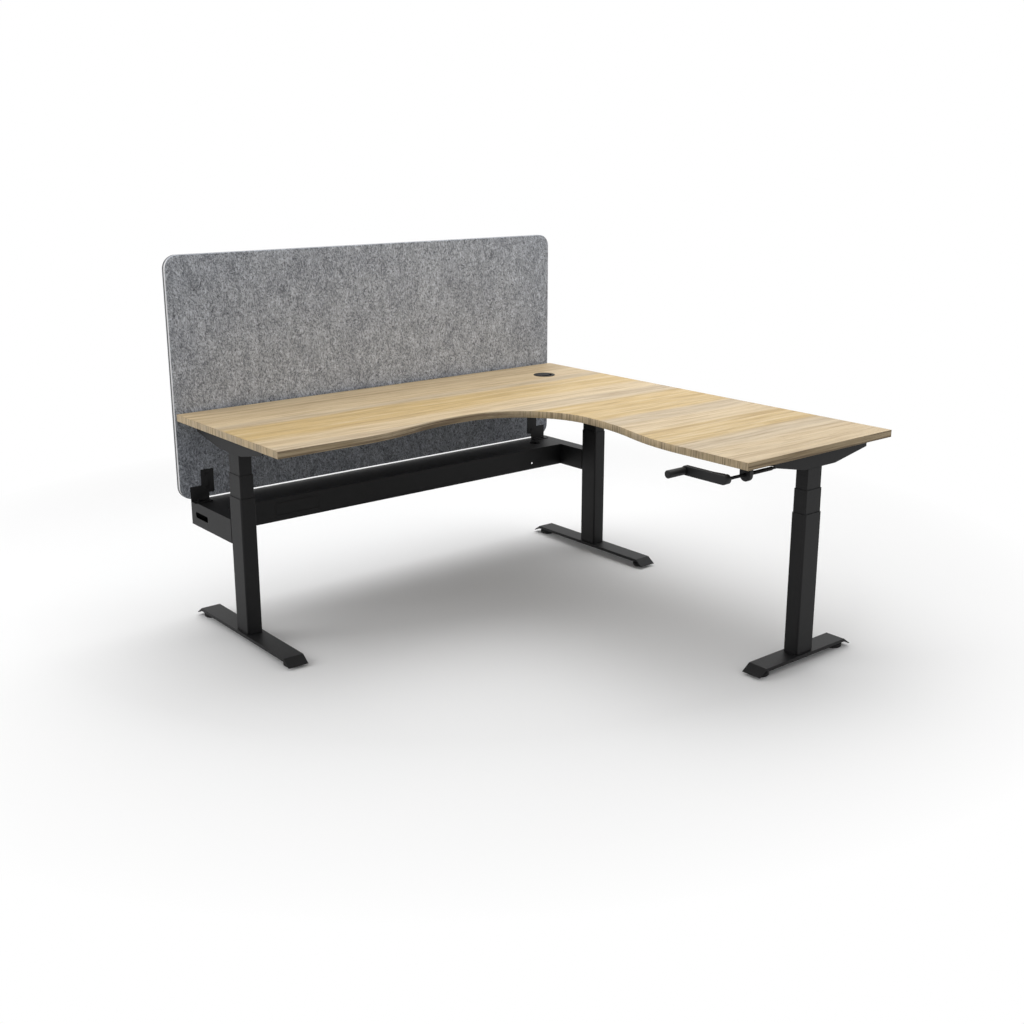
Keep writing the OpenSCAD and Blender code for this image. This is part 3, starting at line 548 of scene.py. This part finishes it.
legs = ["left", "corner", "return"]
looks = {
    "desktop": (oakTop, 0.0), "edge_band": (oakEdge, 0.0007),
    "grommet_ring": (grommetPlastic, 0.0003), "grommet_cap": (grommetPlastic, 0.0005),
    "junction_box": (cast, 0.0015),
    "cross_shaft": (steelX, 0.0004), "return_shaft": (steelY, 0.0004),
    "crank_rod": (rodBlack, 0.0003), "crank_hanger": (crankPlastic, 0.0012),
    "crank_arm": (crankPlastic, 0.002), "crank_grip": (crankPlastic, 0.0),
    "screen_front": (feltFront, 0.0), "screen_back": (feltBack, 0.0),
    "screen_bracket_left": (powder, 0.0005), "screen_bracket_corner": (powder, 0.0005),
    "cable_beam": (powder, 0.0006), "outlet_panel": (powder, 0.0004),
    "beam_arm_left": (powder, 0.0006), "beam_arm_corner": (powder, 0.0006),
    "long_rail_back": (powder, 0.0005), "long_rail_front": (powder, 0.0005),
    "return_rail_inner": (powder, 0.0005), "return_rail_outer": (powder, 0.0005),
    "foot_bolts": (steelZ, 0.0), "top_screws": (steelZ, 0.0), "screen_screws": (powder, 0.0),
}
legLooks = {
    "foot": (powder, 0.0009), "outer_tube": (powder, 0.0005), "mid_tube": (powder, 0.0005),
    "inner_tube": (powder, 0.0005), "wing": (powder, 0.0008), "gearbox": (cast, 0.0012),
    "lower_spindle": (steelZ, 0.0), "mid_spindle": (steelZ, 0.0), "upper_spindle": (steelZ, 0.0),
}
looks |= {f"{part}_{leg}": look for leg in legs for part, look in legLooks.items()}
looks |= {name: (padPlastic, 0.0) for name in nodes if name.startswith("leveller_")}

# Metres and degrees: points closer than the weld merge, and only edges past the bend are rounded.
softenSettings = {"weld": 0.00001, "flat": 0.1, "bend": 40, "segments": 2}


def soften(obj, width, settings):
    weld = obj.modifiers.new("weld", "WELD")
    weld.merge_threshold = settings["weld"]
    flatten = obj.modifiers.new("flatten", "DECIMATE")
    flatten.decimate_type = "DISSOLVE"
    flatten.angle_limit = math.radians(settings["flat"])
    bevel = obj.modifiers.new("bevel", "BEVEL")
    bevel.width = width
    bevel.segments = settings["segments"]
    bevel.limit_method = "ANGLE"
    bevel.angle_limit = math.radians(settings["bend"])
    bevel.use_clamp_overlap = False
    bevel.harden_normals = True


for name, obj in nodes.items():
    material, rounding = looks[name]
    if not obj.material_slots:
        obj.data.materials.append(material)
    for slot in obj.material_slots:
        slot.material = material
    if rounding:
        soften(obj, rounding, softenSettings)
print("finishes given")


# Screen boards: pressed felt with soft arrises, so that a seam shows between the two

boardSettings = {
    "cornerRadius": 0.050, "cornerSteps": 14, "softEdge": 0.0028, "edgeSteps": 5,
    "levelWithin": 0.001, "sharpAngle": 50,
}


def feltBoard(name, node, material, settings):
    low, high = (Vector(corner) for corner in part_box(node))
    bm = bmesh.new()
    bmesh.ops.create_cube(bm, size=1.0)
    bmesh.ops.scale(bm, vec=high - low, verts=bm.verts)
    bmesh.ops.translate(bm, vec=(low + high) / 2, verts=bm.verts)
    for isCorner, width, steps in (
        (True, settings["cornerRadius"], settings["cornerSteps"]),
        (False, settings["softEdge"], settings["edgeSteps"]),
    ):
        # The corners run through the board, and the rims lie in its two faces.
        edges = [
            edge for edge in bm.edges
            if (abs(edge.verts[0].co.y - edge.verts[1].co.y) > settings["levelWithin"]) == isCorner
        ]
        bmesh.ops.bevel(
            bm, geom=edges, offset=width, offset_type="OFFSET", affect="EDGES", segments=steps,
            profile=0.5, material=-1,
        )
    bmesh.ops.recalc_face_normals(bm, faces=bm.faces[:])
    for face in bm.faces:
        face.smooth = True
    mesh = bpy.data.meshes.new(name)
    bm.to_mesh(mesh)
    bm.free()
    mesh.materials.append(material)
    mesh.set_sharp_from_angle(angle=math.radians(settings["sharpAngle"]))
    board = bpy.data.objects.new(name, mesh)
    scene.collection.objects.link(board)
    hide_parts(node)
    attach(board, "frame")


feltBoard("feltBoardFront", "screen_front", feltFront, boardSettings)
feltBoard("feltBoardBack", "screen_back", feltBack, boardSettings)
print("screen boards made")


# Floor: keeps the shadow near the desk, and turns to plain white away from it. Rays that only carry
# light from it to the desk meet a darker tone.

floorSettings = {
    "seen": (0.94, 0.94, 0.94), "bounced": (0.18, 0.18, 0.18, 1), "size": 9.0,
    "fadeCentre": (0.27, 0.80, 0.0), "fadeFrom": 1.70, "fadeTo": 2.62, "fadePower": 0.9,
    "roughness": 0.9, "specular": 0.1, "patches": 0.8,
}


def seeingRays(s):
    # 1 for rays that see the surroundings, and 0 for those that only carry light.
    path = s.tree.nodes.new("ShaderNodeLightPath").outputs
    seeing = s.math("MAXIMUM", path["Is Camera Ray"], path["Is Glossy Ray"])
    return s.math("MAXIMUM", seeing, path["Is Transmission Ray"])


floorMaterial, s, p, at = newMaterial("floor")
seen = seeingRays(s)
patches = s.span(s.noise(at, floorSettings["patches"], 2.0), 0.0, 1.0, 0.99, 1.0)
seenTone = s.scaled(floorSettings["seen"], patches)
s.link(s.mix(seen, floorSettings["bounced"], seenTone), p.inputs["Base Color"])
p.inputs["Roughness"].default_value = floorSettings["roughness"]
p.inputs["Specular IOR Level"].default_value = floorSettings["specular"]
reach = s.vector("SUBTRACT", at, floorSettings["fadeCentre"])
distance = s.add("ShaderNodeVectorMath", {0: reach}, 1, operation="LENGTH")
away = s.span(distance, floorSettings["fadeFrom"], floorSettings["fadeTo"])
away = s.math("POWER", away, floorSettings["fadePower"])
white = s.tree.nodes.new("ShaderNodeEmission")
blend = s.tree.nodes.new("ShaderNodeMixShader")
s.link(s.math("MULTIPLY", away, seen), blend.inputs[0])
s.link(p.outputs[0], blend.inputs[1])
s.link(white.outputs[0], blend.inputs[2])
output = next(node for node in s.tree.nodes if node.type == "OUTPUT_MATERIAL")
s.link(blend.outputs[0], output.inputs[0])
bm = bmesh.new()
bmesh.ops.create_grid(bm, x_segments=1, y_segments=1, size=floorSettings["size"])
floorMesh = bpy.data.meshes.new("floor")
bm.to_mesh(floorMesh)
bm.free()
floor = bpy.data.objects.new("floor", floorMesh)
floor.data.materials.append(floorMaterial)
scene.collection.objects.link(floor)


# Studio light: square lamps, in metres and watts, that look at one point, and a pale room

lightSettings = {
    "overBack": {"place": (0.4, 1.3, 3.3), "watts": 49.0, "size": 3.0},
    "overRight": {"place": (1.5, -0.2, 3.3), "watts": 15.0, "size": 3.0},
    "right": {"place": (2.4, 0.8, 2.8), "watts": 12.0, "size": 2.6},
    "leftLow": {"place": (-3.6, 1.6, 1.6), "watts": 16.0, "size": 2.0},
    "leftHigh": {"place": (-3.2, 2.4, 2.4), "watts": 21.0, "size": 2.0},
}
lampAim = Vector((0.1, 0.1, 0.3))
roomStrength = 0.59
for name, spec in lightSettings.items():
    lamp = bpy.data.lights.new(name, "AREA")
    lamp.shape = "SQUARE"
    lamp.size = spec["size"]
    lamp.energy = spec["watts"]
    obj = bpy.data.objects.new(name, lamp)
    obj.location = spec["place"]
    obj.rotation_euler = (lampAim - Vector(spec["place"])).to_track_quat("-Z", "Y").to_euler()
    scene.collection.objects.link(obj)

world = bpy.data.worlds.new("studio")
scene.world = world
world.use_nodes = True
world.node_tree.nodes.clear()
s = Shader(world.node_tree)
background = s.tree.nodes.new("ShaderNodeBackground")
background.inputs["Color"].default_value = (1, 1, 1, 1)
s.link(s.span(seeingRays(s), 0.0, 1.0, roomStrength, 1.0), background.inputs["Strength"])
output = s.tree.nodes.new("ShaderNodeOutputWorld")
s.link(background.outputs[0], output.inputs[0])
scene.view_settings.view_transform = "Standard"
print("floor and light set")
